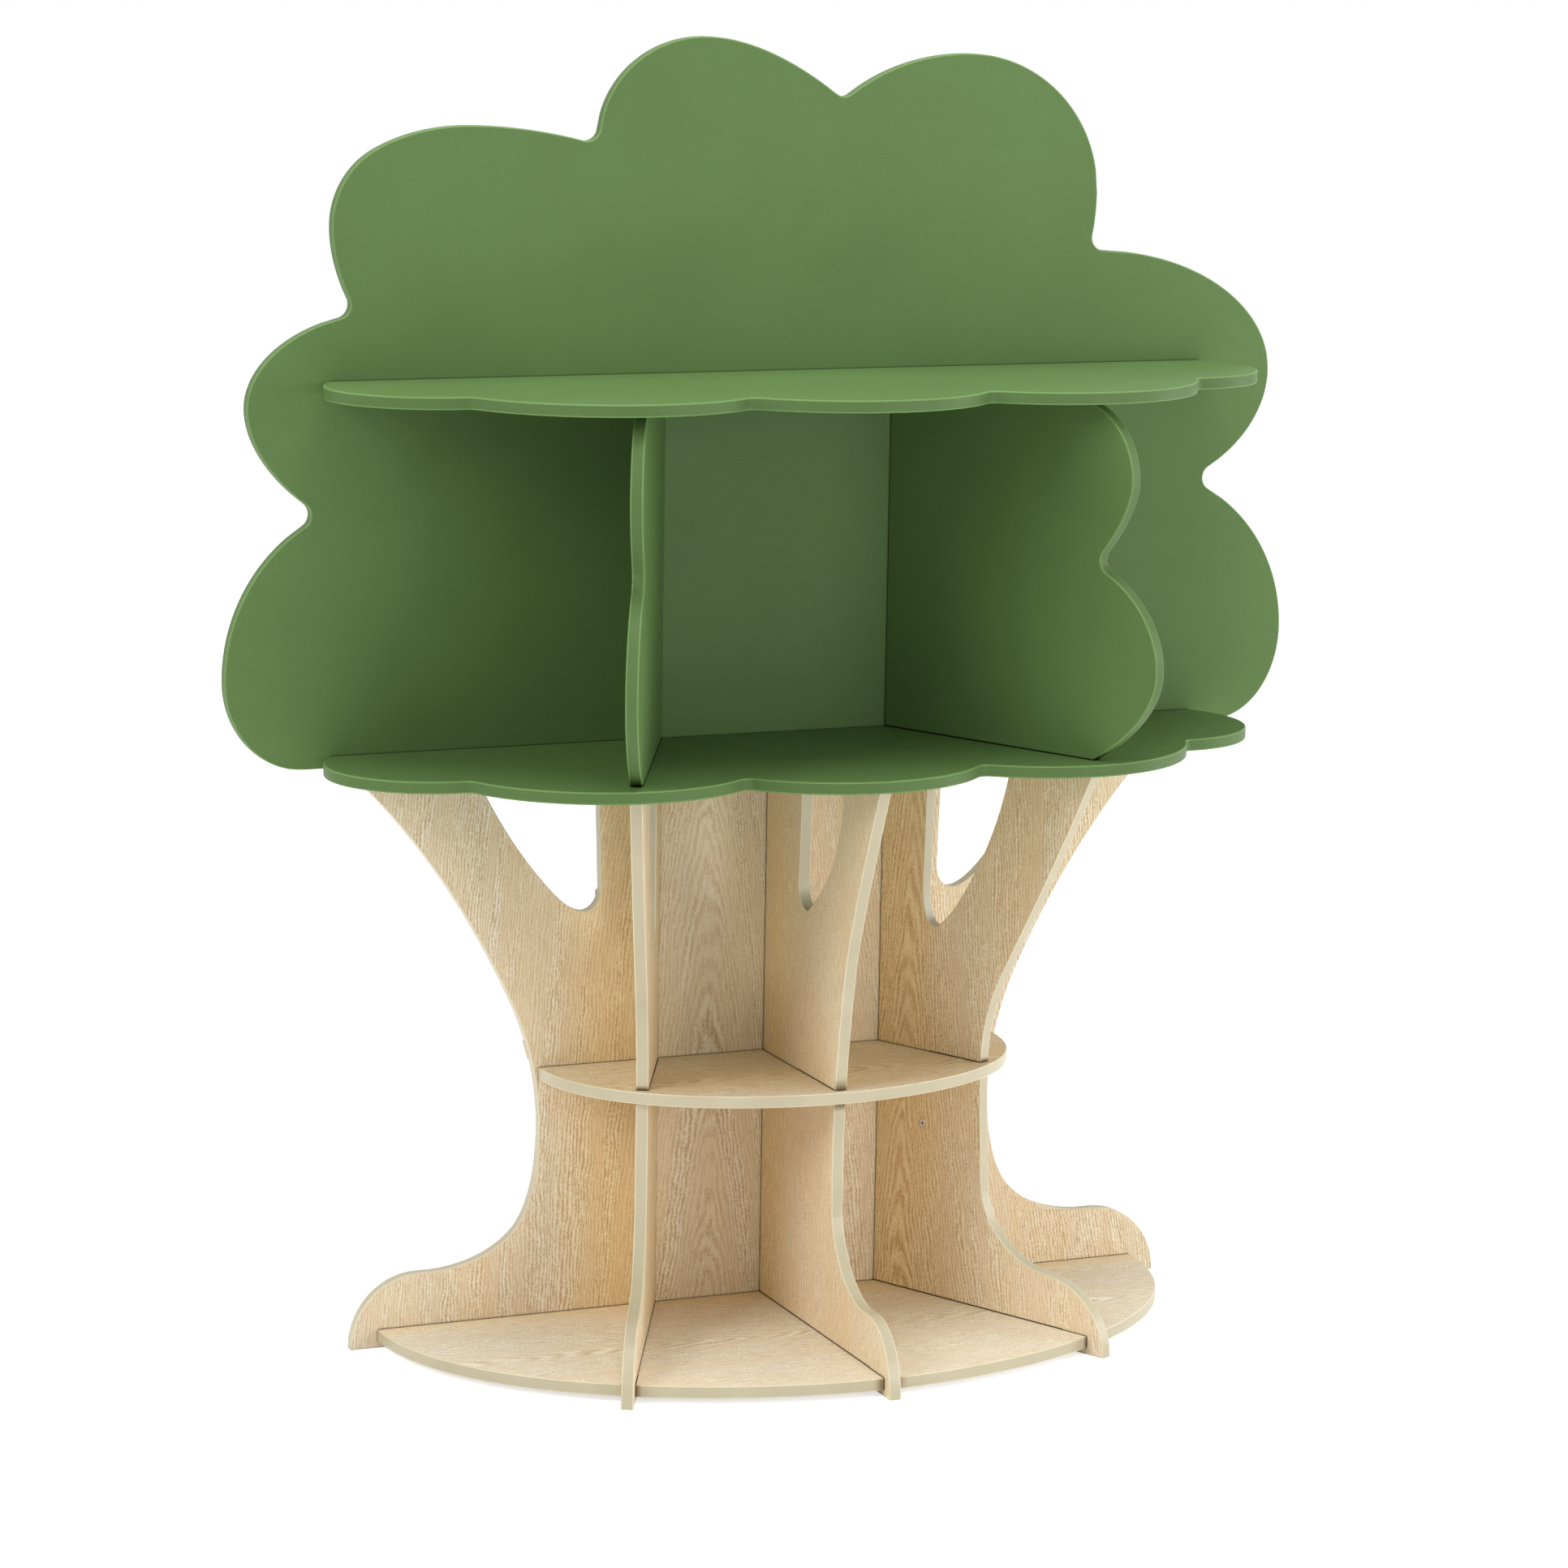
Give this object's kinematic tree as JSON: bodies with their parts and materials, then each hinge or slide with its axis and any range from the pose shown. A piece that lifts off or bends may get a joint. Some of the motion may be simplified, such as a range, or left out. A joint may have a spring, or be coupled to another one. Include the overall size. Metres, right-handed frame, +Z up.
{
  "type": "tree shaped bookshelf",
  "caption": "Free-standing bookcase shaped like a tree: a green lobed crown with shelves and splayed dividers on a pale oak trunk of fins, half-round shelves and root feet.",
  "frame": {"origin": "on the floor, in the middle of the bounding box", "axes": "+X to the viewer's right, +Y to the wall behind, +Z up"},
  "size_m": [1.1176, 0.3366, 1.2636],
  "materials": {
    "green_lacquer": "satin green lacquer on board",
    "oak_board": "pale oak melamine with embossed grain, cream edge bands",
    "beech": "raw",
    "zinc_steel": "zinc plated"
  },
  "bodies": {
    "root": {"barrel_nut_centre": "zinc_steel", "barrel_nut_left": "zinc_steel", "barrel_nut_right": "zinc_steel", "base_shelf": "oak_board", "base_shelf_screw_1": "zinc_steel", "base_shelf_screw_2": "zinc_steel", "base_shelf_screw_3": "zinc_steel", "base_shelf_screw_4": "zinc_steel", "centre_fin_screw_1": "zinc_steel", "centre_fin_screw_2": "zinc_steel", "crown_back_panel": "green_lacquer", "crown_divider_left": "green_lacquer", "crown_divider_right": "green_lacquer", "divider_dowel_left_1": "beech", "divider_dowel_left_2": "beech", "divider_dowel_right_1": "beech", "divider_dowel_right_2": "beech", "fin_bolt_centre": "zinc_steel", "fin_bolt_left": "zinc_steel", "fin_bolt_right": "zinc_steel", "fin_dowel_centre_1": "beech", "fin_dowel_centre_2": "beech", "foot_screw_centre_1": "zinc_steel", "foot_screw_centre_2": "zinc_steel", "foot_screw_left_1": "zinc_steel", "foot_screw_left_2": "zinc_steel", "foot_screw_right_1": "zinc_steel", "foot_screw_right_2": "zinc_steel", "lower_crown_shelf": "green_lacquer", "lower_shelf_screw_1": "zinc_steel", "lower_shelf_screw_2": "zinc_steel", "lower_shelf_screw_3": "zinc_steel", "lower_shelf_screw_4": "zinc_steel", "lower_shelf_screw_5": "zinc_steel", "mid_shelf": "oak_board", "mid_shelf_screw_1": "zinc_steel", "mid_shelf_screw_2": "zinc_steel", "mid_shelf_screw_3": "zinc_steel", "mid_shelf_screw_4": "zinc_steel", "panel_dowel_1": "beech", "panel_dowel_2": "beech", "panel_dowel_3": "beech", "panel_dowel_4": "beech", "through_dowel_left_1": "beech", "through_dowel_left_2": "beech", "through_dowel_right_1": "beech", "through_dowel_right_2": "beech", "trunk_back_panel": "oak_board", "trunk_fin_centre": "oak_board", "trunk_fin_left": "oak_board", "trunk_fin_right": "oak_board", "upper_crown_shelf": "green_lacquer", "upper_shelf_screw_1": "zinc_steel", "upper_shelf_screw_2": "zinc_steel", "upper_shelf_screw_3": "zinc_steel", "upper_shelf_screw_4": "zinc_steel", "upper_shelf_screw_5": "zinc_steel"}
  },
  "joints": []
}
